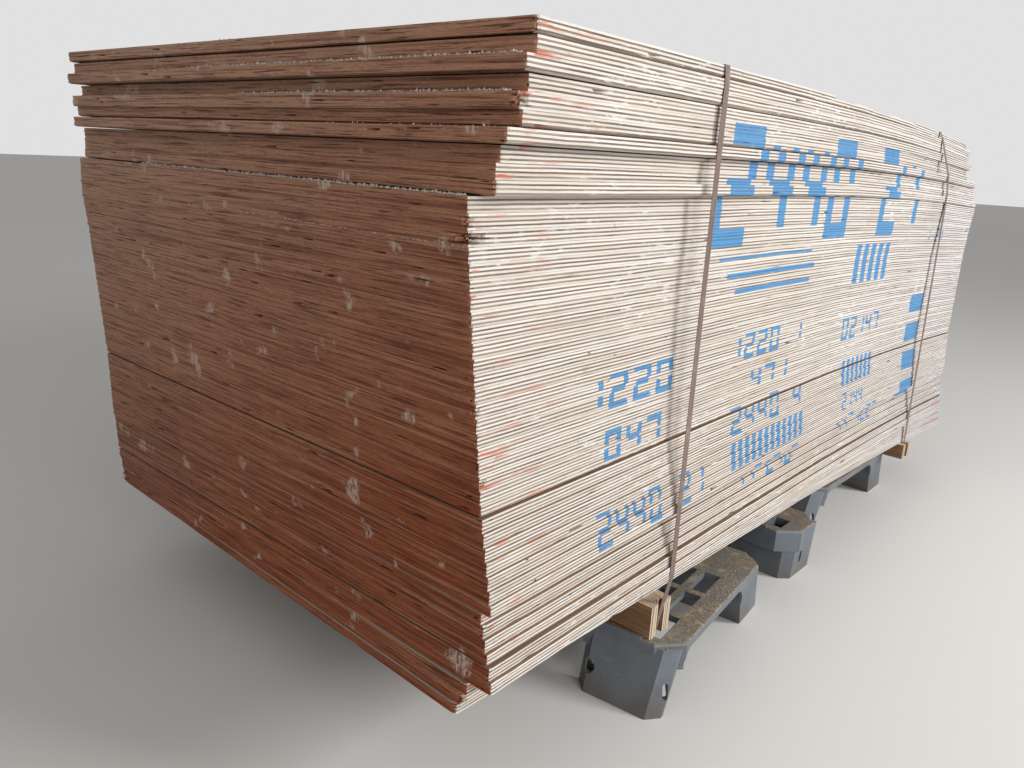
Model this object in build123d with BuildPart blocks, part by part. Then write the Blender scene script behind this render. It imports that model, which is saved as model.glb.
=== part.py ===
"""Stack of plywood sheets on plywood bearers and moulded plastic pallets, held by two straps.

Millimetres. +X runs along the sheets, from the near end to the far end, +Y across them, from the long
face that sticks out over the pallets, and +Z up. The origin is on the floor, under the middle of the
stack's and pallets' outline.
"""
import os
from math import cos, radians, sin, tan

from build123d import *

# sheets
sheet_length = 2440
sheet_width = 1220
sheet_thickness = 21
sheet_count = 47

# Where the near corner of a sheet lies against the stack's nominal corner: sheet number, counted from
# the top, then how far along and across it is pushed, and by how many degrees it is turned. The top
# ten sheets have slid out over the long face, and the sheets between two rows drift evenly.
sheet_shifts = [
    (1, 32, -63, 3.2), (2, 34, -63, 2.9), (3, 18, -62, 2.8), (4, 37, -50, 2.3), (5, 21, -52, 2.5),
    (6, 28, -51, 2.4), (7, 0, -53, 1.6), (8, 19, -26, 1.1), (9, 15, -23, 0.9), (10, 8, -31, 0.8),
    (11, -9, 0, 0.0), (14, -8, -4, 0.2), (18, 2, -3, 0.3), (31, 21, -17, 0.7), (38, 21, -45, 1.1),
    (39, 26, -22, 0.8), (44, 24, -50, 1.0), (45, 19, -6, 0.0), (47, 15, 12, -0.6),
]

# The far end of the stack hangs lower: the sheets bend together, in straight spans, from sag_start on.
sag_start = 900
sag_reach = 1600
sag_depth = 46
sag_spans = 4

# bearers, each of plywood strips on edge
bearer_height = 72
strip_thickness = 21
strap_slot = 24
bearer_front = -28
bearer_back_setback = 8
strap_recess = 12
middle_bearer_setback = 70
middle_bearer_gap = 30
near_bearer_x = 538
middle_bearer_x = 1262
far_bearer_x = 2050

# straps
strap_width = 16
strap_thickness = 0.9
strap_clearance = 0.3

# moulded pallets
pallet_height = 140
deck_thickness = 8
rim_depth = 58
rim_wall = 6
deck_shoulder = 6
lip_height = 5
lip_width = 8
arch_rise = 42
arch_corner = 30
corner_cut = 48
lip_margin = 78
narrow_foot = 40
wide_foot = 140
foot_narrowing = 6
foot_depth = 200
foot_splay = 46
foot_draft = 3
foot_inset = 6
foot_bevel = 24
foot_wall = 10
foot_rows = 3
foot_roof = 14
pallet_depth = 1200
deck_band = 48
near_margin = 28
deck_hole_across = 38
deck_rib = 18
grid_columns = 3
rib_depth = 6
side_slot_height = 34
side_slot_width = 12
side_slot_z = 50
hand_hole_radius = 14
hand_hole_offset = 70

# pallets, each with its length along the stack, its corner against the stack's nominal corner and turn
near_pallet_length = 510
near_pallet_hole = 94
near_pallet_x = 505
near_pallet_y = -91
near_pallet_turn = 7
middle_pallet_length = 178
middle_pallet_hole = 58
middle_pallet_x = 1173
middle_pallet_y = -30
far_pallet_length = 570
far_pallet_hole = 94
far_pallet_x = 1525
far_pallet_y = 42

deck_bottom = pallet_height - deck_thickness
stack_bottom = pallet_height + bearer_height
near_pallet_corner = (near_pallet_x, near_pallet_y)
middle_pallet_corner = (middle_pallet_x, middle_pallet_y)
far_pallet_corner = (far_pallet_x, far_pallet_y)
bearer_length = sheet_width - bearer_front - bearer_back_setback
strap_strip_front = bearer_front + strap_recess
strap_strip_length = bearer_length - 2 * strap_recess
strap_strip_raise = strap_thickness + 2 * strap_clearance


def shift_of(number):
    """The push along and across, and the turn, of a sheet, between the rows of sheet_shifts."""
    for low, high in zip(sheet_shifts, sheet_shifts[1:]):
        if low[0] <= number <= high[0]:
            share = (number - low[0]) / (high[0] - low[0])
            return [a + (b - a) * share for a, b in zip(low[1:], high[1:])]
    return list(sheet_shifts[-1][1:])


def sheet_bottom(number):
    """Height of a sheet's lower face, with sheet 1 on top, where the stack is level."""
    return stack_bottom + (sheet_count - number) * sheet_thickness


def sag_points():
    """Where the sheets bend, and how far they hang there."""
    steps = [i / sag_spans for i in range(sag_spans + 1)]
    return [(sag_start + sag_reach * t, sag_depth * t * t) for t in steps]


def sag_at(x):
    """How far the sheets hang below level at a place along the stack."""
    points = [(sag_start - sheet_length, 0)] + sag_points()
    for (x0, z0), (x1, z1) in zip(points, points[1:]):
        if x <= x1:
            return z0 + (z1 - z0) * (x - x0) / (x1 - x0)
    return points[-1][1]


def corners_of(corner, turn, along, across):
    """Plan corners of a rectangle that is turned about its near corner."""
    x, y = corner
    c, s = cos(radians(turn)), sin(radians(turn))
    return [(x + a * c - b * s, y + a * s + b * c) for a in (0, along) for b in (0, across)]


# The outline in plan of everything, which puts the origin under its middle.
outline = []
for number in range(1, sheet_count + 1):
    along, across, turn = shift_of(number)
    outline += corners_of((along, across), turn, sheet_length, sheet_width)
outline += corners_of(near_pallet_corner, near_pallet_turn, near_pallet_length, pallet_depth)
outline += corners_of(middle_pallet_corner, 0, middle_pallet_length, pallet_depth)
outline += corners_of(far_pallet_corner, 0, far_pallet_length, pallet_depth)
nominal_x = -(min(p[0] for p in outline) + max(p[0] for p in outline)) / 2
nominal_y = -(min(p[1] for p in outline) + max(p[1] for p in outline)) / 2


def plan_plane(corner, height, turn=0):
    """A level plane whose origin is a point of the plan, turned about it."""
    direction = (cos(radians(turn)), sin(radians(turn)), 0)
    return Plane(origin=(nominal_x + corner[0], nominal_y + corner[1], height), x_dir=direction)


def make_sheet(number):
    """A sheet, level up to the bend and then hanging with the rest of the stack."""
    along, across, turn = shift_of(number)
    bottom = sheet_bottom(number)
    lower = [(along - sheet_width, bottom)] + [(x, bottom - z) for x, z in sag_points()]
    upper = [(x, z + sheet_thickness) for x, z in reversed(lower)]
    elevation = Plane(origin=(nominal_x, nominal_y, 0), x_dir=(1, 0, 0), z_dir=(0, -1, 0))
    with BuildPart() as sheet:
        with BuildSketch(plan_plane((along, across), bottom - sag_depth, turn)):
            Rectangle(sheet_length, sheet_width, align=Align.MIN)
        extrude(amount=sheet_thickness + sag_depth)
        with BuildSketch(elevation):
            with BuildLine():
                Polyline(*lower, *upper, close=True)
            make_face()
        extrude(amount=sheet_length, both=True, mode=Mode.INTERSECT)
    return sheet


def make_strip(x_low, y_low, length, bottom=pallet_height):
    """A strip of plywood on edge, across the stack, up to the sheets' lower face."""
    top = stack_bottom - sag_at(x_low + strip_thickness)
    with BuildPart() as strip:
        with BuildSketch(plan_plane((x_low, y_low), bottom)):
            Rectangle(strip_thickness, length, align=Align.MIN)
        extrude(amount=top - bottom)
    return strip


def edge_lines(number, x):
    """Where both long edges of a sheet cross the section at x."""
    along, across, turn = shift_of(number)
    slope = tan(radians(turn))
    front = across + (x - along) * slope
    back = front + sheet_width / cos(radians(turn))
    return front, back


def convex_outline(points):
    """The convex outline round a set of points, anticlockwise."""
    points = sorted(set(points))

    def half(run):
        chain = []
        for p in run:
            while len(chain) > 1:
                (ax, ay), (bx, by) = chain[-2:]
                if (bx - ax) * (p[1] - ay) - (by - ay) * (p[0] - ax) > 1e-6:
                    break
                chain.pop()
            chain.append(p)
        return chain[:-1]

    return half(points) + half(points[::-1])


def make_strap(bearer_x):
    """A band pulled tight round the sheets and the middle strip of a bearer."""
    points = []
    for number in range(1, sheet_count + 1):
        for x in (bearer_x - strap_width / 2, bearer_x + strap_width / 2):
            for y in edge_lines(number, x):
                points.append((y, sheet_bottom(number) - sag_at(x)))
                points.append((y, sheet_bottom(number) - sag_at(x) + sheet_thickness))
    for y in (strap_strip_front, strap_strip_front + strap_strip_length):
        points.append((y, pallet_height + strap_strip_raise))
        points.append((y, stack_bottom - sag_at(bearer_x)))
    section = Plane(origin=(nominal_x + bearer_x, nominal_y, 0), x_dir=(0, 1, 0), z_dir=(1, 0, 0))
    with BuildPart() as strap:
        with BuildSketch(section):
            with BuildLine():
                Polyline(*convex_outline(points), close=True)
            make_face()
            offset(amount=strap_clearance + strap_thickness, kind=Kind.ARC)
        extrude(amount=strap_width / 2, both=True)
        with BuildSketch(section):
            with BuildLine():
                Polyline(*convex_outline(points), close=True)
            make_face()
            offset(amount=strap_clearance, kind=Kind.ARC)
        extrude(amount=strap_width / 2, both=True, mode=Mode.SUBTRACT)
    return strap


def make_foot(way, width):
    """A moulded leg, hollow from below. The load has pushed its lower end out, one way or the other."""
    half_top, half_base = width / 2, (width - foot_narrowing) / 2
    middle = way * (foot_splay + half_top - half_base)
    taper = deck_bottom * tan(radians(foot_draft))
    roof = deck_bottom - foot_roof
    with BuildPart() as foot:
        with BuildSketch(Plane.XZ):
            with BuildLine():
                Polyline((-half_top, deck_bottom), (half_top, deck_bottom), (middle + half_base, 0),
                         (middle - half_base, 0), close=True)
            make_face()
        extrude(amount=foot_depth / 2, both=True)
        draft(foot.faces().filter_by(Axis.Y), neutral_plane=Plane.XY.offset(deck_bottom), angle=-foot_draft)
        outer_corners = foot.edges().filter_by(lambda edge: abs(edge.tangent_at(0.5).Z) > 0.5).sort_by(Axis.X)
        chamfer(outer_corners[-2:] if way > 0 else outer_corners[:2], foot_bevel)
        with BuildSketch(Plane.XZ):
            with BuildLine():
                Polyline((foot_wall - half_top, roof), (half_top - foot_wall, roof),
                         (middle + half_base - foot_wall, 0), (middle - half_base + foot_wall, 0), close=True)
            make_face()
        extrude(amount=foot_depth / 2 - taper - foot_wall, both=True, mode=Mode.SUBTRACT)
    return foot


def make_pallet(corner, turn, length, feet, hole_columns, hole_along):
    """A moulded pallet: a deck with a grid of holes over ribs, and a rim arched between hollow feet."""
    floor = plan_plane(corner, 0, turn)
    front = Plane(origin=floor.origin, x_dir=floor.x_dir, z_dir=-floor.y_dir)
    side = Plane(origin=floor.origin, x_dir=floor.y_dir, z_dir=floor.x_dir)
    foot_x = {-1: foot_inset + narrow_foot / 2, 0: length / 2, 1: length - foot_inset - wide_foot / 2}
    arch_start = foot_inset + narrow_foot
    arch_end = length - foot_inset - wide_foot
    row_edge = foot_inset + foot_depth / 2
    row_pitch = (pallet_depth - 2 * row_edge) / (foot_rows - 1)
    hole_pitch_along = hole_along + deck_rib
    hole_pitch_across = deck_hole_across + deck_rib
    hole_rows = int((pallet_depth - 2 * deck_band + deck_rib) // hole_pitch_across)
    hole_field = hole_columns * hole_pitch_along - deck_rib
    hole_middle = (near_margin + hole_field / 2, pallet_depth / 2)
    slot_lean = foot_splay * (1 - side_slot_z / deck_bottom)
    with BuildPart() as pallet:
        with BuildSketch(floor.offset(deck_bottom)):
            with Locations((length / 2, pallet_depth / 2)):
                deck = Rectangle(length, pallet_depth)
            chamfer(deck.vertices(), corner_cut)
        extrude(amount=deck_thickness)
        with BuildSketch(floor.offset(pallet_height - rim_depth)):
            with Locations((length / 2, pallet_depth / 2)):
                rim = Rectangle(length, pallet_depth)
            chamfer(rim.vertices(), corner_cut)
            offset(amount=-rim_wall, mode=Mode.SUBTRACT)
        extrude(amount=rim_depth - deck_thickness)
        fillet(pallet.faces().sort_by(Axis.Z)[-1].edges(), deck_shoulder)
        with BuildSketch(floor.offset(pallet_height - deck_shoulder)):
            with Locations((0, pallet_depth / 2)):
                Rectangle(lip_width, pallet_depth - 2 * lip_margin, align=(Align.MIN, Align.CENTER))
        extrude(amount=deck_shoulder + lip_height)
        with BuildSketch(floor.offset(deck_bottom - rib_depth)):
            with Locations(hole_middle):
                Rectangle(hole_field + deck_rib, hole_rows * hole_pitch_across)
        extrude(amount=rib_depth)
        for way, width in feet:
            with Locations(floor * Location((foot_x[way], pallet_depth / 2, 0))):
                with GridLocations(0, row_pitch, 1, foot_rows):
                    add(make_foot(way, width).part)
        with BuildSketch(floor.offset(pallet_height)):
            with Locations(hole_middle):
                with GridLocations(hole_pitch_along, hole_pitch_across, hole_columns, hole_rows):
                    Rectangle(hole_along, deck_hole_across)
        extrude(amount=-deck_thickness - foot_roof, mode=Mode.SUBTRACT)
        if len(feet) > 1:
            with BuildSketch(front):
                with Locations(((arch_start + arch_end) / 2, pallet_height - rim_depth)):
                    RectangleRounded(arch_end - arch_start, 2 * arch_rise, arch_corner)
            extrude(amount=-pallet_depth, mode=Mode.SUBTRACT)
        with BuildSketch(side):
            with Locations((pallet_depth / 2, pallet_height - rim_depth)):
                with GridLocations(row_pitch, 0, foot_rows - 1, 1):
                    RectangleRounded(row_pitch - foot_depth, 2 * arch_rise, arch_corner)
        extrude(amount=length, mode=Mode.SUBTRACT)
        for way, width in feet:
            corner_x = foot_x[way] + way * (width / 2 + slot_lean - foot_bevel / 2)
            bevel = Plane(origin=(corner_x, foot_inset, side_slot_z), x_dir=(1, way, 0), z_dir=(way, -1, 0))
            with BuildSketch(Plane(floor.location * bevel.location)):
                SlotOverall(side_slot_height, side_slot_width, rotation=90)
            extrude(amount=-foot_bevel - foot_wall, mode=Mode.SUBTRACT)
        with BuildSketch(side.offset(-foot_splay)):
            with Locations((pallet_depth / 2 + hand_hole_offset, side_slot_z)):
                with GridLocations(row_pitch, 0, foot_rows, 1):
                    Circle(hand_hole_radius)
        extrude(amount=foot_splay + foot_inset + foot_wall, mode=Mode.SUBTRACT)
    return pallet


pieces = {}
for number in range(1, sheet_count + 1):
    pieces[f"sheet_{number:02d}"] = make_sheet(number)

for name, x in (("near", near_bearer_x), ("far", far_bearer_x)):
    left = x - strap_slot / 2 - strip_thickness
    right = x + strap_slot / 2
    pieces[f"{name}_bearer_left_strip"] = make_strip(left, bearer_front, bearer_length)
    pieces[f"{name}_bearer_right_strip"] = make_strip(right, bearer_front, bearer_length)
    pieces[f"{name}_bearer_middle_strip"] = make_strip(
        x - strip_thickness / 2, strap_strip_front, strap_strip_length, pallet_height + strap_strip_raise)
    pieces[f"{name}_strap"] = make_strap(x)

hidden_length = sheet_width - 2 * middle_bearer_setback
left = middle_bearer_x - middle_bearer_gap / 2 - strip_thickness
right = middle_bearer_x + middle_bearer_gap / 2
pieces["middle_bearer_left_strip"] = make_strip(left, middle_bearer_setback, hidden_length)
pieces["middle_bearer_right_strip"] = make_strip(right, middle_bearer_setback, hidden_length)

splayed_feet = ((-1, narrow_foot), (1, wide_foot))
upright_foot = ((0, wide_foot),)
pieces["near_pallet"] = make_pallet(near_pallet_corner, near_pallet_turn, near_pallet_length,
                                    splayed_feet, grid_columns, near_pallet_hole)
pieces["middle_pallet"] = make_pallet(middle_pallet_corner, 0, middle_pallet_length, upright_foot, 1,
                                      middle_pallet_hole)
pieces["far_pallet"] = make_pallet(far_pallet_corner, 0, far_pallet_length, splayed_feet, grid_columns,
                                   far_pallet_hole)

os.makedirs("parts", exist_ok=True)
for label, piece in pieces.items():
    piece.part.label = label
    export_step(piece.part, f"parts/{label}.step")
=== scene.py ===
"""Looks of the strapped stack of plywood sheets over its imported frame.

Metres, +Z up, +X along the sheets.
"""
from types import SimpleNamespace

import bpy
import numpy as np
from mathutils import Matrix, Vector


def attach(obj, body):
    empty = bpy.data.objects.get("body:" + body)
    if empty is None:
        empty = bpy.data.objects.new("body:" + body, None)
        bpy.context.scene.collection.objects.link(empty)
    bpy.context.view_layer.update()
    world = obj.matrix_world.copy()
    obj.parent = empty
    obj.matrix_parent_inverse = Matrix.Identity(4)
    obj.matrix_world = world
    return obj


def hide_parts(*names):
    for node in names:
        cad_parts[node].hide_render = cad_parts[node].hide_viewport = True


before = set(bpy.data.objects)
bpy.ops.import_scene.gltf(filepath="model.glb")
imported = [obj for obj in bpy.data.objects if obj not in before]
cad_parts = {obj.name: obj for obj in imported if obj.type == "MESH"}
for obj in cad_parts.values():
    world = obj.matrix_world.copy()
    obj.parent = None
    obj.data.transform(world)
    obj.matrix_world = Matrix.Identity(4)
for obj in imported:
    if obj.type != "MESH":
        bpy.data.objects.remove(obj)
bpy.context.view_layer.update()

sheet_count = 47
sheet_thickness = 0.021
ply_count = 7
outer_ply = 0.0035
inner_ply = 0.0023333
sheet_length = 2.44
sheet_width = 1.22
stack_bottom = 0.212

# the near front corner of a sheet that hasn't slid, and the pallets' corners and turn, as in the CAD model
nominal_x = -1.21672
nominal_y = -0.60015
near_corner = (nominal_x + 0.505, nominal_y - 0.091)
middle_corner = (nominal_x + 1.173, nominal_y - 0.030)
far_corner = (nominal_x + 1.525, nominal_y + 0.042)
near_turn = np.radians(7)
deck_top = 0.140

# the pallets' feet: rows, height under the deck, half depth at the top, draft, and bevel across and along
foot_rows = (0.106, 0.600, 1.094)
foot_height = 0.132
foot_half_depth = 0.1
foot_slope = np.tan(np.radians(3))
foot_bevel = 0.024
bevel_along = 0.0254

# the strips that close the bevels: height, and from and to which share of the bevel, at the floor and at the
# top, then both sides' insets and the faces of the thin box
closing_levels = ((0.0, 0.34, 0.64), (0.09, 0.36, 0.44))
closing_insets = (-0.0001, 0.0016)
closing_faces = ((0, 1, 5, 4), (3, 2, 6, 7), (2, 0, 4, 6), (1, 3, 7, 5), (1, 0, 2, 3), (4, 5, 7, 6))

# where the far end of the stack hangs lower, as in the CAD model
sag_start = nominal_x + 0.9
sag_reach = 1.6
sag_depth = 0.046
sag_spans = 4

# sheets whose upper edges hold dust at the near end
dusty_sheets = (39, 45, 47)

# camera at the photograph's place and angle
camera_data = bpy.data.cameras.new("camera")
camera_data.sensor_width = 36
camera_data.lens = 28.38
camera_data.clip_start = 0.02
camera = bpy.data.objects.new("camera", camera_data)
bpy.context.collection.objects.link(camera)
looks = Vector((0.71943, 0.63923, -0.27166))
right = Vector((0.67393, -0.73708, 0.05037))
up = Vector((0.16804, 0.21932, 0.96107))
place = Vector((-1.9467, -1.3302, 1.040))
camera.matrix_world = Matrix((
    (right.x, up.x, -looks.x, place.x),
    (right.y, up.y, -looks.y, place.y),
    (right.z, up.z, -looks.z, place.z),
    (0, 0, 0, 1)))
bpy.context.scene.camera = camera
bpy.context.scene.view_settings.view_transform = "Standard"


class Shader:
    """A procedural material, built node by node."""

    def __init__(self, name):
        self.material = bpy.data.materials.new(name)
        self.material.use_nodes = True
        self.tree = self.material.node_tree
        self.tree.nodes.clear()
        self.out = self.tree.nodes.new("ShaderNodeOutputMaterial")
        self.bsdf = self.tree.nodes.new("ShaderNodeBsdfPrincipled")
        self.tree.links.new(self.bsdf.outputs[0], self.out.inputs[0])
        self.coordinates = self.tree.nodes.new("ShaderNodeTexCoord")

    def put(self, socket, value):
        if isinstance(value, bpy.types.NodeSocket):
            self.tree.links.new(value, socket)
        else:
            if isinstance(value, tuple) and len(value) == 3 and len(socket.default_value) == 4:
                value = (*value, 1)
            socket.default_value = value

    def node(self, kind, output=0, **inputs):
        made = self.tree.nodes.new("ShaderNode" + kind)
        for key, value in inputs.items():
            self.put(made.inputs[key], value)
        return made.outputs[output]

    def math(self, operation, a, b=0.0, clamp=False):
        made = self.tree.nodes.new("ShaderNodeMath")
        made.operation = operation
        made.use_clamp = clamp
        self.put(made.inputs[0], a)
        self.put(made.inputs[1], b)
        return made.outputs[0]

    def times(self, *values):
        result = values[0]
        for value in values[1:]:
            result = self.math("MULTIPLY", result, value)
        return result

    def scaled(self, vector, by):
        made = self.tree.nodes.new("ShaderNodeVectorMath")
        made.operation = "MULTIPLY"
        self.put(made.inputs[0], vector)
        self.put(made.inputs[1], by)
        return made.outputs[0]

    def split(self, vector):
        made = self.tree.nodes.new("ShaderNodeSeparateXYZ")
        self.put(made.inputs[0], vector)
        return made.outputs

    def join(self, x, y, z):
        made = self.tree.nodes.new("ShaderNodeCombineXYZ")
        for socket, value in zip(made.inputs, (x, y, z)):
            self.put(socket, value)
        return made.outputs[0]

    def mix(self, share, a, b, blend="MIX"):
        made = self.tree.nodes.new("ShaderNodeMix")
        made.data_type = "RGBA"
        made.blend_type = blend
        self.put(made.inputs[0], share)
        self.put(made.inputs[6], a)
        self.put(made.inputs[7], b)
        return made.outputs[2]

    def noise(self, vector, scale=1.0, detail=3.0, rough=0.5):
        return self.node("TexNoise", Vector=vector, Scale=scale, Detail=detail, Roughness=rough)

    def grain(self, a, b, along, across, offset, detail, rough=0.5):
        """Noise over two coordinates, each with its own scale; the offset keeps one noise from another."""
        return self.noise(self.join(self.times(a, along), self.times(b, across), offset), 1.0, detail, rough)

    def cells(self, a, b, along, across, offset):
        """Distance to the nearest of many scattered points, over two coordinates as in grain."""
        vector = self.join(self.times(a, along), self.times(b, across), offset)
        return self.node("TexVoronoi", Vector=vector, Scale=1.0)

    def spread(self, value, low, high, to_low=0.0, to_high=1.0):
        made = self.tree.nodes.new("ShaderNodeMapRange")
        for socket, number in zip(made.inputs, (value, low, high, to_low, to_high)):
            self.put(socket, number)
        return made.outputs[0]

    def ramp(self, share, stops):
        made = self.tree.nodes.new("ShaderNodeValToRGB")
        elements = made.color_ramp.elements
        while len(elements) < len(stops):
            elements.new(1.0)
        for element, (position, tint) in zip(elements, stops):
            element.position = position
            element.color = (*tint, 1)
        self.put(made.inputs[0], share)
        return made.outputs[0]

    def bump(self, height, distance, strength=1.0):
        self.put(self.bsdf.inputs["Normal"],
                 self.node("Bump", Height=height, Distance=distance, Strength=strength))

    def finish(self, base, rough):
        self.put(self.bsdf.inputs["Base Color"], base)
        self.put(self.bsdf.inputs["Roughness"], rough)
        return self.material


def colour(red, green, blue):
    """A linear colour from the usual 0 to 255 values."""
    parts = []
    for value in (red, green, blue):
        value /= 255
        parts.append(value / 12.92 if value <= 0.04045 else ((value + 0.055) / 1.055) ** 2.4)
    return tuple(parts)


def ply_layers(s, v):
    """The layer's number up the stack, whether it is an inner one, and the share of the way through."""
    sheet = s.math("FLOOR", s.math("DIVIDE", v, sheet_thickness))
    height = s.math("SUBTRACT", v, s.times(sheet, sheet_thickness))
    pair = s.math("FLOOR", s.math("DIVIDE", height, outer_ply + inner_ply))
    rest = s.math("SUBTRACT", height, s.times(pair, outer_ply + inner_ply))
    odd = s.math("GREATER_THAN", rest, outer_ply)
    outer_share = s.math("DIVIDE", rest, outer_ply)
    inner_share = s.math("DIVIDE", s.math("SUBTRACT", rest, outer_ply), inner_ply)
    within = s.math("ADD", s.times(outer_share, s.math("SUBTRACT", 1.0, odd)), s.times(inner_share, odd))
    layer = s.math("ADD", s.times(sheet, ply_count), s.math("ADD", s.times(pair, 2.0), odd))
    return layer, odd, within


def long_edge_material(name, painted):
    """A long edge: white and grey-tan plies with wavy seams, knots, cracks with painted shade in them,
    scuffs, overspray, and painted bluer light towards the far end.
    """
    s = Shader(name)
    u, v, _ = s.split(s.coordinates.outputs["UV"])
    wave = s.grain(u, v, 7.0, 30.0, 0.0, 3.0)
    bent = s.math("ADD", v, s.spread(wave, 0.3, 0.7, -0.0006, 0.0006))
    layer, odd, within = ply_layers(s, bent)
    each = s.node("TexWhiteNoise", Vector=s.join(layer, 3.0, 0.0))
    patch = s.grain(u, layer, 1.8, 0.8, 5.0, 4.0)
    tan_patch = s.grain(u, v, 3.2, 95.0, 9.0, 3.0)
    dark_patch = s.grain(u, layer, 3.6, 3.7, 12.0, 3.0, 0.6)
    fibre = s.grain(u, v, 60.0, 2600.0, 1.0, 3.0, 0.6)
    pores = s.grain(u, v, 460.0, 600.0, 2.0, 2.0)
    white = colour(248, 242, 234)
    cream = colour(226, 214, 200)
    tan = colour(208, 172, 138)
    grey = colour(136, 116, 100)
    base = s.mix(s.spread(patch, 0.42, 0.66), white, cream)
    base = s.mix(s.spread(fibre, 0.5, 0.8, 0.0, 0.3), base, grey)
    deep = s.mix(s.spread(each, 0.2, 1.0), grey, colour(170, 146, 124))
    deep = s.mix(s.spread(dark_patch, 0.5, 0.62, 0.0, 0.9), deep, colour(92, 70, 54))
    deep = s.mix(s.spread(dark_patch, 0.3, 0.44, 0.6, 0.0), deep, cream)
    deep = s.mix(s.times(s.spread(pores, 0.5, 0.72), 0.5), deep, colour(82, 64, 50))
    base = s.mix(s.times(odd, 0.94), base, deep)
    base = s.mix(s.times(s.spread(tan_patch, 0.63, 0.76), s.spread(odd, 0.0, 1.0, 0.65, 0.35)), base, tan)
    seam = s.math("MAXIMUM", s.spread(within, 0.0, 0.16, 1.0, 0.0), s.spread(within, 0.86, 1.0, 0.0, 1.0))
    base = s.mix(s.times(seam, 0.3), base, colour(126, 108, 92))
    knot_shape = s.grain(u, v, 300.0, 260.0, 4.0, 2.0)
    knots = s.math("ADD", s.cells(u, v, 13.0, 44.0, 0.0), s.times(knot_shape, 0.07))
    rare = s.grain(u, v, 5.0, 16.0, 20.0, 1.0)
    base = s.mix(s.times(s.spread(knots, 0.07, 0.1, 1.0, 0.0), s.spread(rare, 0.5, 0.56)), base,
                 colour(66, 50, 40))
    warm = s.cells(u, v, 5.0, 26.0, 7.0)
    base = s.mix(s.times(s.spread(s.math("ADD", warm, s.times(knot_shape, 0.1)), 0.1, 0.18, 0.6, 0.0),
                         s.spread(rare, 0.56, 0.62)), base, colour(184, 138, 92))
    # painted shade: cracks drawn as dark lines, the shade inside them
    shaded_crack = s.cells(u, v, 30.0, 7.5, 3.0)
    base = s.mix(s.times(s.spread(shaded_crack, 0.022, 0.04, 0.85, 0.0), s.spread(rare, 0.44, 0.5, 1.0, 0.0)), base,
                 colour(88, 72, 60))
    scuff = s.grain(u, v, 26.0, 110.0, 31.0, 4.0, 0.65)
    area = s.grain(u, v, 3.5, 7.0, 40.0, 2.0)
    base = s.mix(s.times(s.spread(scuff, 0.54, 0.66), s.spread(area, 0.5, 0.6), 0.7), base,
                 colour(255, 254, 250))
    grime = s.grain(u, v, 2.2, 12.0, 50.0, 5.0, 0.6)
    base = s.mix(s.times(s.spread(grime, 0.52, 0.74), 0.3), base, colour(168, 148, 130))
    spray = s.grain(u, v, 11.0, 64.0, 64.0, 3.0)
    near = s.math("MAXIMUM", s.spread(u, 0.01, 0.1, 1.0, 0.0), s.spread(u, 0.08, 0.22, 0.45, 0.0))
    far = s.spread(u, 2.25, sheet_length, 0.0, 0.6)
    base = s.mix(s.times(s.spread(spray, 0.6, 0.66), s.math("MAXIMUM", near, far), 0.9), base,
                 colour(220, 116, 92))
    # painted light: the long edge turns a little bluer from 0.9 m to 2.3 m along it
    base = s.mix(s.spread(u, 0.9, 2.3, 0.0, 1.0), base, s.mix(1.0, base, (0.96, 1.0, 1.07), "MULTIPLY"))
    if painted:
        thin = s.grain(u, v, 90.0, 240.0, 70.0, 3.0, 0.7)
        held = s.spread(thin, 0.62, 0.72, 0.93, 0.25)
        held = s.times(held, s.spread(odd, 0.0, 1.0, 1.0, 0.72))
        blue = s.mix(s.times(odd, 0.6), colour(60, 152, 214), colour(52, 120, 172))
        base = s.mix(held, base, blue)
    s.bump(s.math("ADD", s.times(pores, odd), fibre), 0.0005)
    return s.finish(base, 0.78)


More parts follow.
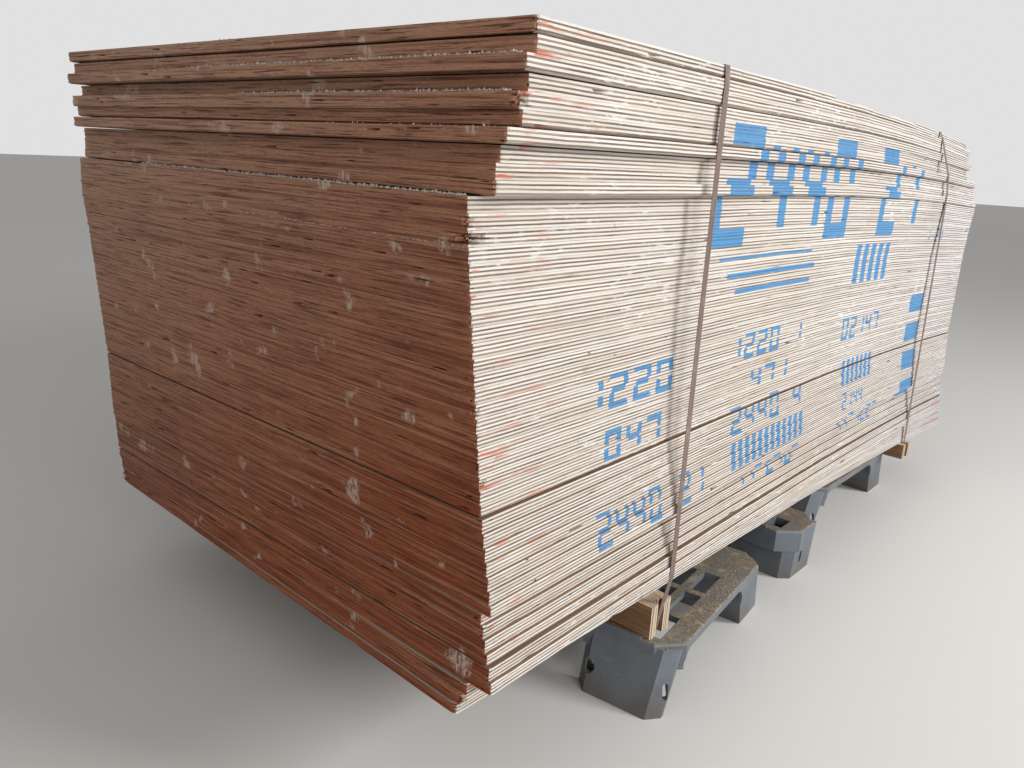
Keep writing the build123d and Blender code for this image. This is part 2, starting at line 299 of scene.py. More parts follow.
def end_edge_material():
    """An end edge under a reddish-brown sealer, with fine dark streaks, slots painted near black as painted
    shade, pale scuffs, and painted light towards its top and one corner.
    """
    s = Shader("end_edge")
    u, v, _ = s.split(s.coordinates.outputs["UV"])
    layer, odd, within = ply_layers(s, v)
    each = s.node("TexWhiteNoise", Vector=s.join(layer, 8.0, 0.0))
    cloud = s.grain(u, v, 2.0, 3.0, 1.0, 4.0, 0.6)
    streak = s.grain(u, v, 9.0, 340.0, 4.0, 4.0, 0.6)
    long_streak = s.grain(u, v, 2.4, 170.0, 6.0, 4.0, 0.6)
    fine = s.grain(u, v, 90.0, 1300.0, 5.0, 2.0)
    base = s.ramp(cloud, [(0.3, colour(150, 72, 34)), (0.5, colour(168, 84, 41)),
                          (0.72, colour(186, 104, 59))])
    # painted light: the end face is lightened towards its top and towards one of its corners
    half_way = sheet_length + sheet_width
    along = s.math("SUBTRACT", half_way, s.math("FLOORED_MODULO", u, half_way))
    painted_light_gradient = s.spread(s.math("ADD", s.times(v, 0.75), s.times(along, 0.375)), 0.3, 1.02)
    base = s.mix(s.times(painted_light_gradient, 0.87), base, colour(226, 182, 154))
    dark = s.mix(1.0, base, (0.28, 0.20, 0.15), "MULTIPLY")
    light = s.mix(0.5, base, colour(222, 176, 140))
    base = s.mix(s.times(each, 0.16), base, light)
    base = s.mix(s.times(odd, 0.13), base, dark)
    base = s.mix(s.spread(long_streak, 0.5, 0.64, 0.0, 0.85), base, light)
    base = s.mix(s.spread(long_streak, 0.36, 0.48, 0.65, 0.0), base, dark)
    base = s.mix(s.spread(streak, 0.53, 0.62, 0.0, 0.95), base, dark)
    base = s.mix(s.spread(fine, 0.46, 0.7, 0.0, 0.55), base, dark)
    seam = s.math("MAXIMUM", s.spread(within, 0.0, 0.1, 1.0, 0.0), s.spread(within, 0.9, 1.0, 0.0, 1.0))
    base = s.mix(s.times(seam, 0.16), base, dark)
    # painted shade: narrow core slots are painted near black, the shade inside them
    slots = s.cells(u, v, 10.0, 120.0, 0.0)
    rare = s.grain(u, v, 6.0, 12.0, 20.0, 1.0)
    base = s.mix(s.times(s.spread(slots, 0.08, 0.14, 1.0, 0.0), s.spread(rare, 0.5, 0.56)), base,
                 colour(34, 20, 14))
    stroke = s.grain(u, v, 170.0, 60.0, 31.0, 3.0, 0.7)
    area = s.grain(u, v, 14.0, 16.0, 40.0, 2.0)
    base = s.mix(s.times(s.spread(stroke, 0.4, 0.56), s.spread(area, 0.64, 0.69), 0.85), base,
                 colour(230, 206, 190))
    ragged = s.grain(u, v, 240.0, 240.0, 60.0, 3.0, 0.6)
    for dusty in dusty_sheets:
        top = (sheet_count - dusty + 1) * sheet_thickness
        depth = s.math("ADD", s.math("SUBTRACT", top, v), s.spread(ragged, 0.3, 0.7, -0.0016, 0.0016))
        held = s.times(s.spread(depth, 0.0032, 0.0052, 0.8, 0.0), s.math("LESS_THAN", v, top))
        base = s.mix(held, base, s.mix(ragged, colour(128, 112, 98), colour(206, 192, 176)))
    s.bump(s.math("ADD", s.times(streak, -1.0), fine), 0.0004)
    return s.finish(base, 0.72)


def face_material(name, tint):
    """A sheet's broad face: rotary-cut veneer with flowing figure, patches, knots and dust."""
    s = Shader(name)
    place = s.coordinates.outputs["Object"]
    x, y, z = s.split(place)
    turn = s.math("ADD", y, s.times(s.noise(s.scaled(place, (1.1, 1.1, 0.0)), 1.0, 2.0), 0.5))
    rings = s.grain(x, turn, 0.9, 16.0, z, 6.0, 0.6)
    fine = s.grain(x, y, 9.0, 330.0, z, 3.0)
    base = s.ramp(rings, [(0.3, colour(176, 138, 108)), (0.45, colour(214, 182, 150)),
                          (0.58, colour(198, 160, 126)), (0.72, colour(160, 118, 88))])
    base = s.mix(s.spread(fine, 0.45, 0.75, 0.0, 0.35), base, colour(128, 92, 68))
    knots = s.node("TexVoronoi", 0, Vector=s.scaled(place, (3.0, 5.0, 0.0)), Scale=1.0)
    base = s.mix(s.spread(knots, 0.05, 0.09, 0.85, 0.0), base, colour(84, 54, 38))
    dust = s.noise(s.scaled(place, (3.0, 3.0, 0.0)), 1.0, 5.0, 0.6)
    base = s.mix(s.spread(dust, 0.5, 0.8, 0.0, 0.6), base, colour(206, 196, 184))
    base = s.mix(1.0, base, tint, "MULTIPLY")
    s.bump(fine, 0.0003)
    return s.finish(base, 0.75)


def strap_material():
    """A brown plastic band with fine lines along it and worn spots."""
    s = Shader("strap_skin")
    place = s.coordinates.outputs["Object"]
    x, y, z = s.split(place)
    lines = s.noise(s.join(s.times(x, 900.0), s.times(y, 6.0), s.times(z, 6.0)), 1.0, 2.0)
    wear = s.noise(place, 22.0, 4.0, 0.6)
    base = s.mix(s.spread(lines, 0.35, 0.65), colour(138, 114, 108), colour(108, 86, 80))
    base = s.mix(s.spread(wear, 0.52, 0.7, 0.0, 0.6), base, colour(168, 152, 142))
    s.bump(lines, 0.0002)
    return s.finish(base, 0.42)


def pallet_material():
    """Grey moulded plastic, dusty on top and scratched, and darker and browner towards the floor."""
    s = Shader("pallet_skin")
    place = s.coordinates.outputs["Object"]
    _, _, z = s.split(place)
    normal = s.split(s.node("NewGeometry", 1))
    cloud = s.noise(place, 7.0, 5.0, 0.6)
    grit = s.noise(place, 240.0, 3.0, 0.7)
    scratch = s.noise(s.scaled(place, (30.0, 30.0, 400.0)), 1.0, 3.0, 0.7)
    base = s.mix(s.spread(cloud, 0.3, 0.7), colour(124, 131, 138), colour(90, 97, 104))
    base = s.mix(s.times(s.spread(scratch, 0.58, 0.72), 0.4), base, colour(160, 168, 176))
    upward = s.spread(normal[2], 0.3, 0.85)
    worn = s.noise(place, 26.0, 4.0, 0.65)
    dust = s.times(upward, s.spread(cloud, 0.25, 0.6, 0.55, 0.95), s.spread(worn, 0.4, 0.5, 0.55, 1.0))
    dirt = s.mix(s.spread(grit, 0.4, 0.62), colour(168, 152, 128), colour(104, 90, 72))
    dirt = s.mix(s.spread(worn, 0.56, 0.7, 0.0, 0.7), dirt, colour(196, 184, 164))
    base = s.mix(dust, base, dirt)
    # darker and browner in patches within 7 cm of the floor
    low = s.times(s.spread(z, 0.0, 0.07, 0.75, 0.0), s.spread(cloud, 0.35, 0.6))
    base = s.mix(low, base, colour(104, 92, 78))
    s.bump(grit, 0.0004)
    return s.finish(base, s.spread(dust, 0.0, 1.0, 0.42, 0.9))


def strip_material():
    """A plywood strip on edge: brown veneer on its sides, plies on its ends and edges."""
    s = Shader("strip_skin")
    place = s.coordinates.outputs["Object"]
    across, _, _ = s.split(s.coordinates.outputs["UV"])
    normal = s.split(s.node("NewGeometry", 1))
    # a little under 1, so that the far side doesn't count as a next sheet
    odd = ply_layers(s, s.times(across, sheet_thickness * 0.999))[1]
    side = s.spread(s.math("ABSOLUTE", normal[0]), 0.4, 0.6)
    grain = s.noise(s.scaled(place, (40.0, 5.0, 300.0)), 1.0, 4.0, 0.6)
    fine = s.noise(s.scaled(place, (500.0, 60.0, 60.0)), 1.0, 3.0)
    cut = s.mix(s.times(odd, 0.85), colour(228, 210, 184), colour(160, 134, 108))
    cut = s.mix(s.spread(fine, 0.45, 0.75, 0.0, 0.4), cut, colour(120, 94, 72))
    veneer = s.ramp(grain, [(0.3, colour(118, 84, 60)), (0.55, colour(160, 120, 88)),
                            (0.75, colour(192, 156, 122))])
    s.bump(grain, 0.0004)
    return s.finish(s.mix(side, cut, veneer), 0.78)


def crumb_material(name, scale, dark, light, rough):
    """Small bits of one stuff, some darker and some lighter."""
    s = Shader(name)
    cloud = s.noise(s.coordinates.outputs["Object"], scale, 3.0)
    return s.finish(s.ramp(cloud, [(0.35, dark), (0.65, light)]), rough)


sheet_face = face_material("sheet_face", (1.0, 1.0, 1.0))
# painted shade: the lower sheets' faces, seen only in gaps and ledges between sheets, are the same veneer
# darkened to about 0.4
shaded_inner_face = face_material("shaded_inner_face", (0.42, 0.40, 0.40))
long_edge = long_edge_material("long_edge", False)
painted_edge = long_edge_material("painted_edge", True)
end_edge = end_edge_material()
strap_skin = strap_material()
pallet_skin = pallet_material()
strip_skin = strip_material()
dust = crumb_material("dust", 300.0, colour(176, 166, 152), colour(226, 220, 210), 0.95)
torn_wood = crumb_material("torn_wood", 160.0, colour(150, 100, 64), colour(222, 184, 140), 0.8)


def drops(x):
    """How far the stack hangs below level, the same straight spans as in the CAD model."""
    steps = np.arange(sag_spans + 1) / sag_spans
    return np.interp(x, sag_start + sag_reach * steps, sag_depth * steps ** 2)


# plain blue stencil marks on the long face: digits of straight bars, and rows of bars
# a segment is given by shares of the digit's box: from and to across it, from and to up it
segments = {"a": (0.0, 1.0, 0.84, 1.0), "g": (0.14, 0.86, 0.42, 0.58), "d": (0.0, 1.0, 0.0, 0.16),
            "f": (0.0, 0.26, 0.56, 0.86), "b": (0.74, 1.0, 0.56, 0.86), "e": (0.0, 0.26, 0.14, 0.44),
            "c": (0.74, 1.0, 0.14, 0.44)}
digits = {"0": "abcdef", "1": "bc", "2": "abged", "4": "fgbc", "7": "abc"}
digit_width = 0.76
bar_width = 0.6
marks = []


def add_digits(text, x_low, x_high, z_low, z_high):
    """Digits side by side in a box on the long face; a space leaves a place free."""
    pitch = (x_high - x_low) / len(text)
    for i, letter in enumerate(text):
        for part in digits.get(letter, ""):
            a, b, low, high = segments[part]
            x = x_low + pitch * i
            marks.append((x + a * pitch * digit_width, x + b * pitch * digit_width,
                          z_low + low * (z_high - z_low), z_low + high * (z_high - z_low)))


def add_bars(number, x_low, x_high, z_low, z_high):
    """Upright bars side by side in a box on the long face."""
    pitch = (x_high - x_low) / number
    for i in range(number):
        marks.append((x_low + pitch * i, x_low + pitch * (i + bar_width), z_low, z_high))


add_digits("2440 21", -0.61, 0.62, 0.895, 1.115)
for low, high, z in ((-0.56, -0.13, 0.868), (-0.52, -0.10, 0.834), (-0.48, -0.12, 0.800)):
    marks.append((low, high, z, z + 0.008))
add_bars(5, 0.16, 0.43, 0.775, 0.875)
add_digits("1220", -0.965, -0.68, 0.648, 0.708)
add_digits("047", -0.90, -0.71, 0.558, 0.612)
add_digits("2440 21", -0.93, -0.555, 0.412, 0.476)
add_digits("1220 1", -0.475, -0.11, 0.660, 0.712)
add_digits("471", -0.37, -0.167, 0.584, 0.632)
add_digits("2440 4", -0.45, -0.075, 0.500, 0.556)
add_bars(12, -0.45, -0.065, 0.426, 0.486)
add_digits("17 210", -0.39, -0.09, 0.360, 0.412)
add_digits("02147", 0.14, 0.43, 0.627, 0.686)
add_bars(7, 0.18, 0.417, 0.503, 0.570)
add_digits("2144", 0.19, 0.358, 0.433, 0.481)
add_digits("47 122", 0.197, 0.483, 0.362, 0.420)
for z in (0.385, 0.475, 0.565, 0.655):
    marks.append((0.70, 0.83, z, z + 0.055))
add_digits("1 21", 0.73, 0.91, 0.872, 0.915)


def smooth_noise(rng, count, step):
    """A row of numbers from 0 to 1 that wander smoothly, one for each point."""
    knots = rng.random(count // step + 4)
    at = np.linspace(0, len(knots) - 2.001, count)
    low = at.astype(int)
    share = at - low
    share = share * share * (3 - 2 * share)
    return knots[low] * (1 - share) + knots[low + 1] * share


# heights of the plies' faces above a sheet's bottom
ply_levels = np.cumsum([0.0] + [inner_ply if k % 2 else outer_ply for k in range(ply_count)])

# an edge's points: their distances from a corner, then how far apart they lie on long and end edges
corner_steps = np.array((0, 0.0025, 0.005, 0.008, 0.012, 0.017, 0.023, 0.031))
long_spacing = 0.02
end_spacing = 0.016
closest = 0.0006

# marks nearer than this to a corner get no points of their own
mark_margin = 0.04

# where a corner's rounding crosses its diagonal, as a share of the radius
round_cut = 0.293

# how far the seams' and ledges' texture strips lie from the layers' borders, and a ledge's height there
seam_margin = 0.00002
ledge_strip = 0.00001

# strips of a sheet's broad faces, and the places of its materials
cap_strips = 59
face_slot, long_slot, end_slot, painted_slot = range(4)

# corners broken off more than by wear: sheet and corner, counted from the near front one, then the size
broken = {(5, 0): 0.012, (13, 0): 0.010, (1, 1): 0.020, (1, 0): 0.006, (45, 3): 0.030, (46, 3): 0.040,
          (47, 3): 0.046, (44, 3): 0.018, (40, 0): 0.010, (46, 0): 0.014, (47, 0): 0.012, (31, 1): 0.014,
          (38, 1): 0.018, (20, 2): 0.012, (33, 2): 0.016}

# corners whose inner plies are torn out, leaving a dark hole
hollowed = {(13, 0): 0.044, (12, 0): 0.012, (29, 0): 0.012, (5, 0): 0.010, (24, 0): 0.008}

# sheets that don't lie tight on the one below, and the gap that shows at the edge
open_under = {1: 0.0016, 3: 0.0013, 6: 0.0014, 7: 0.0014, 10: 0.0012, 31: 0.0020, 38: 0.0018, 42: 0.0014}

# from and to where along the top sheet's long edge its two upper plies are chipped off
chip_from = 1.06
chip_to = 1.72


def new_piece(name, vertices, faces, *materials):
    """A mesh object in the scene with its materials."""
    mesh = bpy.data.meshes.new(name)
    mesh.from_pydata(vertices, [], faces)
    for material in materials:
        mesh.materials.append(material)
    piece = bpy.data.objects.new(name, mesh)
    bpy.context.collection.objects.link(piece)
    return piece


def sheet_height(number, above):
    """The height of a sheet's bottom, or of a share of its thickness above that, where nothing sags."""
    return stack_bottom + (sheet_count - number + above) * sheet_thickness


def edge_steps(length, spacing, extra):
    """Distances along an edge, close together at both corners and at the marks."""
    middle = np.arange(corner_steps[-1] + spacing, length - corner_steps[-1] - spacing / 2, spacing)
    steps = np.concatenate((corner_steps, middle, length - corner_steps[:1:-1], extra))
    steps = np.unique(np.round(steps, 5))
    keep = np.concatenate(([True], np.diff(steps) > closest))
    return steps[keep]


def edge_points(corners, ours):
    """Points round a sheet's outline, with the ways inward and along at each and where it lies.

    runs counts from the near front corner and ends from the nearer corner, whose number is nearest.
    """
    lengths, directions, normals = [], [], []
    for i in range(4):
        step = corners[(i + 1) % 4] - corners[i]
        lengths.append(np.linalg.norm(step))
        directions.append(step / lengths[i])
        normals.append(np.array((-directions[i][1], directions[i][0])))
    spots, inward, along, runs, ends, side, nearest = [], [], [], [], [], [], []
    starts = []
    run = 0.0
    for i in range(4):
        extra = []
        if i == 0:
            extra = [(x - corners[0][0]) / directions[0][0] for m in ours for x in m[:2]]
            extra = [e for e in extra if mark_margin < e < lengths[0] - mark_margin]
        starts.append(len(runs))
        for t in edge_steps(lengths[i], end_spacing if i % 2 else long_spacing, np.array(extra)):
            close = t < lengths[i] / 2
            spots.append(corners[i] + directions[i] * t)
            inward.append(normals[i] if t else normals[i] + normals[i - 1])
            along.append(directions[i] * (0 if t == 0 else 1 if close else -1))
            runs.append(run + t)
            ends.append(min(t, lengths[i] - t))
            side.append(i)
            nearest.append(i if close else (i + 1) % 4)
        run += lengths[i]
    return SimpleNamespace(spots=np.array(spots), inward=np.array(inward), along=np.array(along),
                           runs=np.array(runs), ends=np.array(ends), side=np.array(side),
                           nearest=np.array(nearest), starts=starts, total=run)


def worn_outlines(number, edge):
    """Each ply's outline: ragged, with core voids and nicks, and with worn, broken or torn corners."""
    rng = np.random.default_rng(100 + number)
    count = len(edge.spots)
    outlines = []
    for k in range(ply_count):
        inside_sheet = 0 < k < ply_count - 1
        depth = 0.0010 * smooth_noise(rng, count, 4) ** 2 + 0.0003 * rng.random(count)
        if k % 2:
            depth += 0.0002
        if inside_sheet:
            for _ in range(rng.poisson(2.5)):
                where = rng.integers(0, count)
                if edge.side[where] % 2 or rng.random() < 0.35:
                    depth[where] += rng.uniform(0.004, 0.012)
        for _ in range(rng.poisson(3.0)):
            where = rng.integers(0, count)
            depth[where] += rng.uniform(0.001, 0.003)
        shift = np.zeros(count)
        for corner in range(4):
            size = rng.uniform(0.0005, 0.006)
            if (number, corner) in broken:
                size += broken[number, corner] * rng.uniform(0.45, 1.0) * (1.0 if inside_sheet else 0.8)
            if (number, corner) in hollowed and inside_sheet:
                size += hollowed[number, corner] * rng.uniform(0.8, 1.0)
            ragged = size * (1 + 0.35 * rng.standard_normal(count))
            ragged = np.clip(ragged, 0.0003, 0.055)
            touched = (edge.nearest == corner) & (edge.ends < ragged)
            corner_cut = round_cut * ragged
            before = touched & (edge.ends < corner_cut)
            after = touched & ~before
            shift[before] = (corner_cut - edge.ends)[before]
            depth[before] += corner_cut[before]
            inside = np.clip(ragged ** 2 - (ragged - edge.ends) ** 2, 0, None)
            depth[after] += (ragged - np.sqrt(inside))[after]
        if number == 1 and k > 4:
            chip = (edge.side == 0) & (edge.runs > chip_from) & (edge.runs < chip_to)
            depth[chip] += 0.012 * smooth_noise(rng, count, 5)[chip] + 0.008
        outlines.append(edge.spots + edge.inward * depth[:, None] + edge.along * shift[:, None])
    return outlines


def make_sheet(number, corners):
    """A sheet of seven plies, each with its own ragged outline, core voids and worn corners."""
    bottom = sheet_height(number, 0)
    ours = [m for m in marks if m[3] > bottom and m[2] < bottom + sheet_thickness]
    edge = edge_points(corners, ours)
    count = len(edge.spots)

    # two rows of points for each ply; the lowest row and the highest lie a little further in
    rows = []
    lift = open_under.get(number, 0.0)
    for k, outline in enumerate(worn_outlines(number, edge)):
        for upper in (0, 1):
            flat = outline
            height = bottom + ply_levels[k + upper]
            if k == 0 and not upper:
                flat = flat + edge.inward * (0.0003 + 4 * lift)
                height += 0.0001 + lift
            if k == ply_count - 1 and upper:
                flat = flat + edge.inward * 0.0002
                height -= 0.0001
            rows.append(np.column_stack((flat, height - drops(flat[:, 0]))))

    # walls: by turns a ply's edge and the ledge to the next ply
    base_v = bottom - stack_bottom
    order = np.arange(count)
    following = np.roll(order, -1)
    ends_u = np.append(edge.runs[1:], edge.total)
    middles_x = (edge.spots[:, 0] + edge.spots[following, 0]) / 2
    faces, slots, uvs = [], [], []
    for row in range(2 * ply_count - 1):
        k = row // 2
        low = base_v + ply_levels[k + row % 2] + seam_margin
        high = low + ledge_strip if row % 2 else base_v + ply_levels[k + 1] - seam_margin
        height = stack_bottom + (low + high) / 2
        painted = np.zeros(count, bool)
        for x_low, x_high, z_low, z_high in ours:
            if z_low <= height <= z_high:
                painted |= (middles_x > x_low) & (middles_x < x_high)
        long_slots = np.where(painted & (edge.side == 0), painted_slot, long_slot)
        slots += np.where(edge.side % 2 == 1, end_slot, long_slots).tolist()
        a, b = row * count, (row + 1) * count
        faces += np.column_stack((a + order, a + following, b + following, b + order)).tolist()
        lows, highs = np.full(count, low), np.full(count, high)
        corners_uv = (np.column_stack((edge.runs, lows)), np.column_stack((ends_u, lows)),
                      np.column_stack((ends_u, highs)), np.column_stack((edge.runs, highs)))
        uvs.append(np.stack(corners_uv, 1).reshape(-1, 2))

    # broad faces: strips from the front edge to the back one
    front = list(range(edge.starts[0], edge.starts[1] + 1))
    far = list(range(edge.starts[1] + 1, edge.starts[2]))
    back = list(range(edge.starts[2], edge.starts[3] + 1))[::-1]
    near = list(range(edge.starts[3] + 1, count))
    cuts_front = np.linspace(0, len(front) - 1, cap_strips + 1).round().astype(int)
    cuts_back = np.linspace(0, len(back) - 1, cap_strips + 1).round().astype(int)
    top_row = (2 * ply_count - 1) * count
    for i in range(cap_strips):
        loop = front[cuts_front[i]:cuts_front[i + 1] + 1]
        if i == cap_strips - 1:
            loop += far
        loop += back[cuts_back[i]:cuts_back[i + 1] + 1][::-1]
        if i == 0:
            loop += near
        faces += [[top_row + point for point in loop], loop[::-1]]
        slots += [face_slot, face_slot]
        uvs.append(np.zeros((2 * len(loop), 2)))
    piece = new_piece(f"sheet_{number:02d}_plies", np.vstack(rows).tolist(), faces,
                      shaded_inner_face if number > 1 else sheet_face, long_edge, end_edge, painted_edge)
    piece.data.polygons.foreach_set("material_index", slots)
    layer = piece.data.uv_layers.new(name="UVMap")
    layer.data.foreach_set("uv", np.vstack(uvs).astype(np.float32).ravel())
    return piece


def corners_from(node):
    """A sheet's or strip's four plan corners, anticlockwise from the near front one."""
    spots = np.array(sorted({(round(v.co.x, 5), round(v.co.y, 5)) for v in node.data.vertices}))
    ways = ((1, 1), (-1, 1), (-1, -1), (1, -1))
    return [np.array(min(spots, key=lambda p: p[0] * a + p[1] * b)) for a, b in ways]


sheet_corners = {}
for number in range(1, sheet_count + 1):
    node_name = f"sheet_{number:02d}"
    sheet_corners[number] = corners_from(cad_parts[node_name])
    piece = make_sheet(number, sheet_corners[number])
    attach(piece, "root")
    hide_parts(node_name)


def make_strip(name, node, seed):
    """A bearer's strip on edge: seven plies across it, with ragged long edges and rough cut ends."""
    rng = np.random.default_rng(seed)
    corners = corners_from(node)
    heights = {}
    for vertex in node.data.vertices:
        spot = (round(vertex.co.x, 5), round(vertex.co.y, 5))
        heights.setdefault(spot, []).append(vertex.co.z)
    low = [min(heights[tuple(c)]) for c in corners]
    high = [max(heights[tuple(c)]) for c in corners]
    length = np.linalg.norm(corners[3] - corners[0])
    stations = 40
    row = 2 * ply_count
    ring = 2 * row
    shares = np.repeat(ply_levels, 2)[1:-1] / sheet_thickness
    ply = np.repeat(np.arange(ply_count), 2)
    front = rng.uniform(0.0, 0.0016, ply_count)[ply] / length
    back = rng.uniform(0.0, 0.0016, ply_count)[ply] / length
    vertices = []
    uvs = []
    for station in range(stations + 1):
        dip = rng.uniform(0.0, 0.0006, ply_count)[ply]
        rise = rng.uniform(0.0, 0.0004, ply_count)[ply]
        for upper in (0, 1):
            for i in range(row):
                t = min(max(station / stations, front[i]), 1 - back[i])
                left = corners[0] * (1 - t) + corners[3] * t
                right = corners[1] * (1 - t) + corners[2] * t
                spot = left * (1 - shares[i]) + right * shares[i]
                ends = high if upper else low
                left_z = ends[0] * (1 - t) + ends[3] * t
                right_z = ends[1] * (1 - t) + ends[2] * t
                z = left_z * (1 - shares[i]) + right_z * shares[i]
                vertices.append((spot[0], spot[1], z - dip[i] if upper else z + rise[i]))
                uvs.append((shares[i], t))
    faces = []
    for station in range(stations):
        a, b = station * ring, (station + 1) * ring
        for i in range(row - 1):
            faces.append((a + i, b + i, b + i + 1, a + i + 1))
            faces.append((a + row + i + 1, b + row + i + 1, b + row + i, a + row + i))
        faces.append((a, a + row, b + row, b))
        faces.append((a + row - 1, b + row - 1, b + ring - 1, a + ring - 1))
    last = stations * ring
    for i in range(row - 1):
        faces.append((i, i + 1, i + row + 1, i + row))
        faces.append((last + i + row, last + i + row + 1, last + i + 1, last + i))
    piece = new_piece(name + "_plies", vertices, faces, strip_skin)
    layer = piece.data.uv_layers.new(name="UVMap")
    for loop in piece.data.loops:
        layer.data[loop.index].uv = uvs[loop.vertex_index]
    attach(piece, "root")
    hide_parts(name)


for seed, (name, node) in enumerate(sorted(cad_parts.items())):
    if name.startswith("sheet"):
        continue
    if name.endswith("strip"):
        make_strip(name, node, 200 + seed)
        continue
    node.data.materials.clear()
    node.data.materials.append(strap_skin if name.endswith("strap") else pallet_skin)


def lumps(name, places, material, seed):
    """Many small irregular crumbs in one mesh: each is an octahedron with moved corners."""
    rng = np.random.default_rng(seed)
    corners = np.array(((1, 0, 0), (0, 1, 0), (-1, 0, 0), (0, -1, 0), (0, 0, 1), (0, 0, -1)), float)
    sides = ((0, 1, 4), (1, 2, 4), (2, 3, 4), (3, 0, 4), (1, 0, 5), (2, 1, 5), (3, 2, 5), (0, 3, 5))
    vertices = []
    faces = []
    for x, y, z, size in places:
        shape = corners * size * rng.uniform(0.55, 1.2, (6, 1)) * rng.uniform(0.6, 1.3, (1, 3))
        turn = rng.uniform(0, np.pi)
        c, s = np.cos(turn), np.sin(turn)
        shape[:, :2] = shape[:, :2] @ np.array(((c, s), (-s, c)))
        first = len(vertices)
        vertices += (shape + (x, y, z - shape[:, 2].min() * 0.8)).tolist()
        faces += [[first + i for i in side] for side in sides]
    piece = new_piece(name, vertices, faces, material)
    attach(piece, "root")
    return piece


def ledge_dust(number, low, high, how_many, size, seed, deepest=0.012):
    """Places of sawdust on top of a sheet, along its near end, thickest at the near corner."""
    rng = np.random.default_rng(seed)
    corner, back = sheet_corners[number][0], sheet_corners[number][3]
    inner = sheet_corners[number][1] - corner
    inner = inner / np.linalg.norm(inner)
    top = sheet_height(number, 1)
    found = []
    for _ in range(how_many):
        share = low + (high - low) * rng.random() ** 1.3
        spot = corner + (back - corner) * share + inner * rng.uniform(0.1, 1.0) * deepest
        found.append((spot[0], spot[1], top - 0.0006, size * rng.uniform(0.4, 1.3)))
    return found


# sheet, from and to which share of its near end, how many, their size and the seed
places = ledge_dust(3, 0.01, 0.62, 800, 0.0019, 1) + ledge_dust(5, 0.02, 0.5, 800, 0.0019, 2)
places += ledge_dust(11, 0.01, 0.75, 1200, 0.0019, 3) + ledge_dust(7, 0.02, 0.3, 60, 0.0012, 4)
places += ledge_dust(14, 0.0, 0.6, 420, 0.0011, 6, 0.0008) + ledge_dust(1, 0.5, 0.57, 60, 0.002, 7, 0.03)
lumps("sawdust", places, dust, 5)

# crumbs along the front of the near pallet's deck, at a along its edge and b from it
crumb_rng = np.random.default_rng(31)
crumbs = []
for _ in range(150):
    a, b = crumb_rng.normal(0.27, 0.09), crumb_rng.uniform(0.010, 0.044)
    if 0.04 < a < 0.48:
        crumbs.append((near_corner[0] + a * np.cos(near_turn) - b * np.sin(near_turn),
                       near_corner[1] + a * np.sin(near_turn) + b * np.cos(near_turn),
                       deck_top - 0.0002, crumb_rng.uniform(0.0004, 0.0017)))
lumps("deck_crumbs", crumbs, dust, 32)


def slivers(name, clusters, material, seed):
    """Splinters in one mesh: thin three-sided spikes from round about each given place."""
    rng = np.random.default_rng(seed)
    vertices = []
    faces = []
    for x, y, z, way, how_many, length in clusters:
        for _ in range(how_many):
            root = np.array((x, y, z)) + rng.uniform(-0.006, 0.006, 3)
            aim = np.array(way, float) + rng.normal(0, 0.45, 3)
            aim /= np.linalg.norm(aim)
            across = np.cross(aim, (0.3, 0.2, 1.0))
            across /= np.linalg.norm(across)
            third = np.cross(aim, across)
            wide = rng.uniform(0.0003, 0.0011)
            first = len(vertices)
            vertices += [(root + across * wide).tolist(), (root - across * wide).tolist(),
                         (root + third * wide * 0.6).tolist(),
                         (root + aim * length * rng.uniform(0.3, 1.0)).tolist()]
            faces += [(first + 1, first, first + 3), (first + 2, first + 1, first + 3),
                      (first, first + 2, first + 3), (first, first + 1, first + 2)]
    piece = new_piece(name, vertices, faces, material)
    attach(piece, "root")
    return piece


def at_corner(number, corner, into, above):
    """A place a little inside a sheet's corner, at a share of its thickness."""
    spot = sheet_corners[number][corner]
    middle = sum(sheet_corners[number]) / 4
    spot = spot + (middle - spot) / np.linalg.norm(middle - spot) * into
    return spot[0], spot[1], sheet_height(number, above) - drops(spot[0])


# where splinters stick out, which way, how many and how long
clusters = [(*at_corner(13, 0, 0.030, 0.5), (-1, -0.6, 0.1), 22, 0.026),
            (*at_corner(13, 0, 0.020, 0.9), (-0.4, -1, -0.2), 10, 0.020),
            (*at_corner(12, 0, 0.012, 0.2), (-0.6, -1, 0), 8, 0.014),
            (*at_corner(5, 0, 0.012, 0.6), (-1, -0.8, 0.2), 12, 0.014),
            (*at_corner(29, 0, 0.010, 0.5), (-1, -0.3, 0), 8, 0.014),
            (*at_corner(24, 0, 0.008, 0.5), (-1, -0.4, 0), 6, 0.011),
            (*at_corner(46, 0, 0.010, 0.5), (-1, -0.6, 0), 8, 0.012),
            (*at_corner(46, 3, 0.036, 0.5), (-1, 0.5, 0), 14, 0.022),
            (*at_corner(1, 1, 0.014, 0.5), (1, -0.4, 0), 14, 0.018),
            (*at_corner(2, 1, 0.006, 0.5), (1, -0.4, 0), 8, 0.014)]
slivers("splinters", clusters, torn_wood, 21)


def foot_corners(name, corner, turn, feet):
    """The bevelled corners of a pallet's feet, closed near the ground where the CAD's thin wall opens.

    Each foot is its middle along the pallet, the way it faces, its half length and how far it splays.
    """
    c, s = np.cos(turn), np.sin(turn)
    vertices = []
    faces = []
    for foot_x, way, half, splay in feet:
        for row_y in foot_rows:
            for across in (-1, 1):
                first = len(vertices)
                for z, low, high in closing_levels:
                    outer_x = half + splay * (1 - z / foot_height)
                    outer_y = foot_half_depth - (foot_height - z) * foot_slope
                    for inset in closing_insets:
                        for share in (low, high):
                            x = foot_x + way * (outer_x - bevel_along * share - inset)
                            y = row_y + across * (outer_y - foot_bevel * (1 - share) - inset)
                            vertices.append((corner[0] + x * c - y * s, corner[1] + x * s + y * c, z))
                for loop in closing_faces:
                    faces.append([first + i for i in loop[::way * across]])
    piece = new_piece(name, vertices, faces, pallet_skin)
    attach(piece, "root")


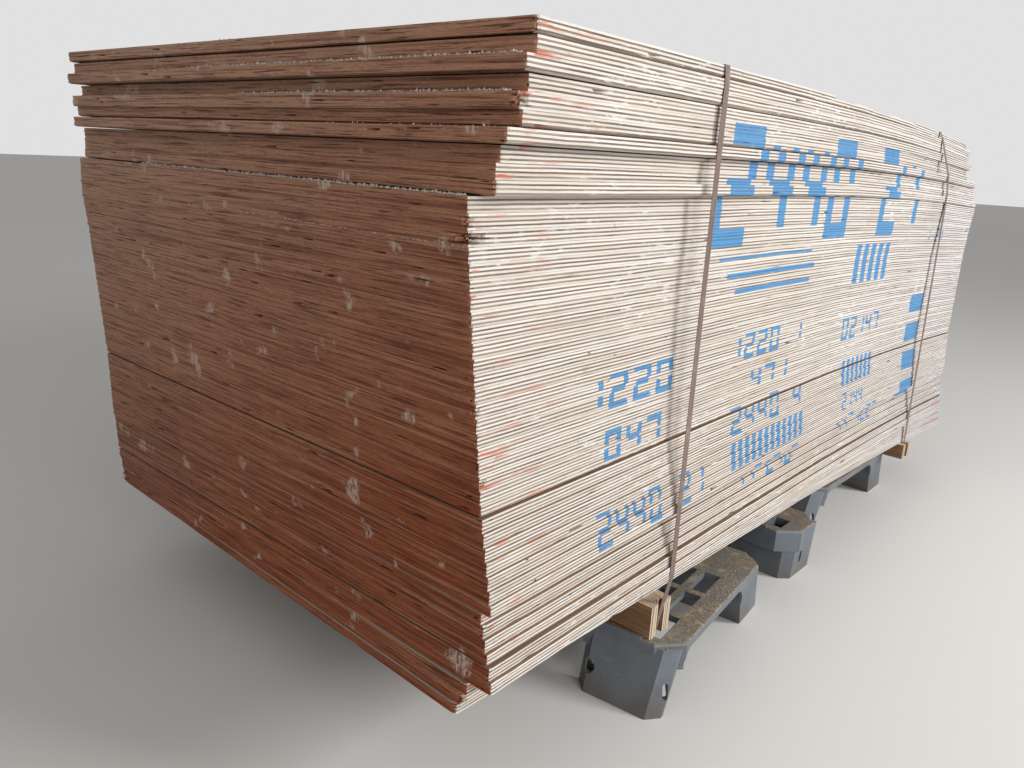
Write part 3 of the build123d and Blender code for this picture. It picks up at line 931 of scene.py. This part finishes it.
foot_corners("near_pallet_foot_corners", near_corner, near_turn,
             ((0.026, -1, 0.020, 0.046), (0.434, 1, 0.070, 0.046)))
foot_corners("far_pallet_foot_corners", far_corner, 0,
             ((0.026, -1, 0.020, 0.046), (0.494, 1, 0.070, 0.046)))
foot_corners("middle_pallet_foot_corners", middle_corner, 0,
             ((0.089, -1, 0.070, -0.003),))

# floor, world and lights
floor_reach = 40
floor_corners = [(x * floor_reach, y * floor_reach, 0) for x, y in ((-1, -1), (1, -1), (1, 1), (-1, 1))]
floor = new_piece("floor", floor_corners, [(0, 1, 2, 3)])
floor.location.z = -0.0005
floor_shader = Shader("floor")


def pale_rays(tree):
    """1 for the rays that see a pale floor and background: camera, reflected and transmitted rays."""
    path = tree.nodes.new("ShaderNodeLightPath")
    total = path.outputs["Is Camera Ray"]
    for ray in ("Is Glossy Ray", "Is Transmission Ray"):
        add = tree.nodes.new("ShaderNodeMath")
        add.operation = "ADD"
        add.use_clamp = True
        tree.links.new(total, add.inputs[0])
        tree.links.new(path.outputs[ray], add.inputs[1])
        total = add.outputs[0]
    return total


floor_tint = floor_shader.mix(pale_rays(floor_shader.tree), colour(150, 148, 145), colour(236, 234, 230))
floor.data.materials.append(floor_shader.finish(floor_tint, 0.9))

world = bpy.data.worlds.new("world")
bpy.context.scene.world = world
world.use_nodes = True
sky = world.node_tree.nodes["Background"]
sky.inputs[0].default_value = (1, 1, 1, 1)
sky_strength = world.node_tree.nodes.new("ShaderNodeMapRange")
sky_strength.inputs["To Min"].default_value = 0.32
sky_strength.inputs["To Max"].default_value = 0.75
world.node_tree.links.new(pale_rays(world.node_tree), sky_strength.inputs["Value"])
world.node_tree.links.new(sky_strength.outputs[0], sky.inputs[1])


def add_lamp(name, spot, aim, size, power):
    """An area lamp at a spot, turned to an aim."""
    data = bpy.data.lights.new(name, "AREA")
    data.energy = power
    data.size = size
    lamp = bpy.data.objects.new(name, data)
    lamp.location = spot
    lamp.rotation_euler = (Vector(aim) - Vector(spot)).to_track_quat("-Z", "Y").to_euler()
    bpy.context.collection.objects.link(lamp)


add_lamp("key", (1.6, -4.8, 2.8), (0, -0.5, 0.5), 1.6, 172)
add_lamp("fill", (-2.0, -4.4, 1.6), (-0.8, -0.6, 0.4), 3.0, 74)
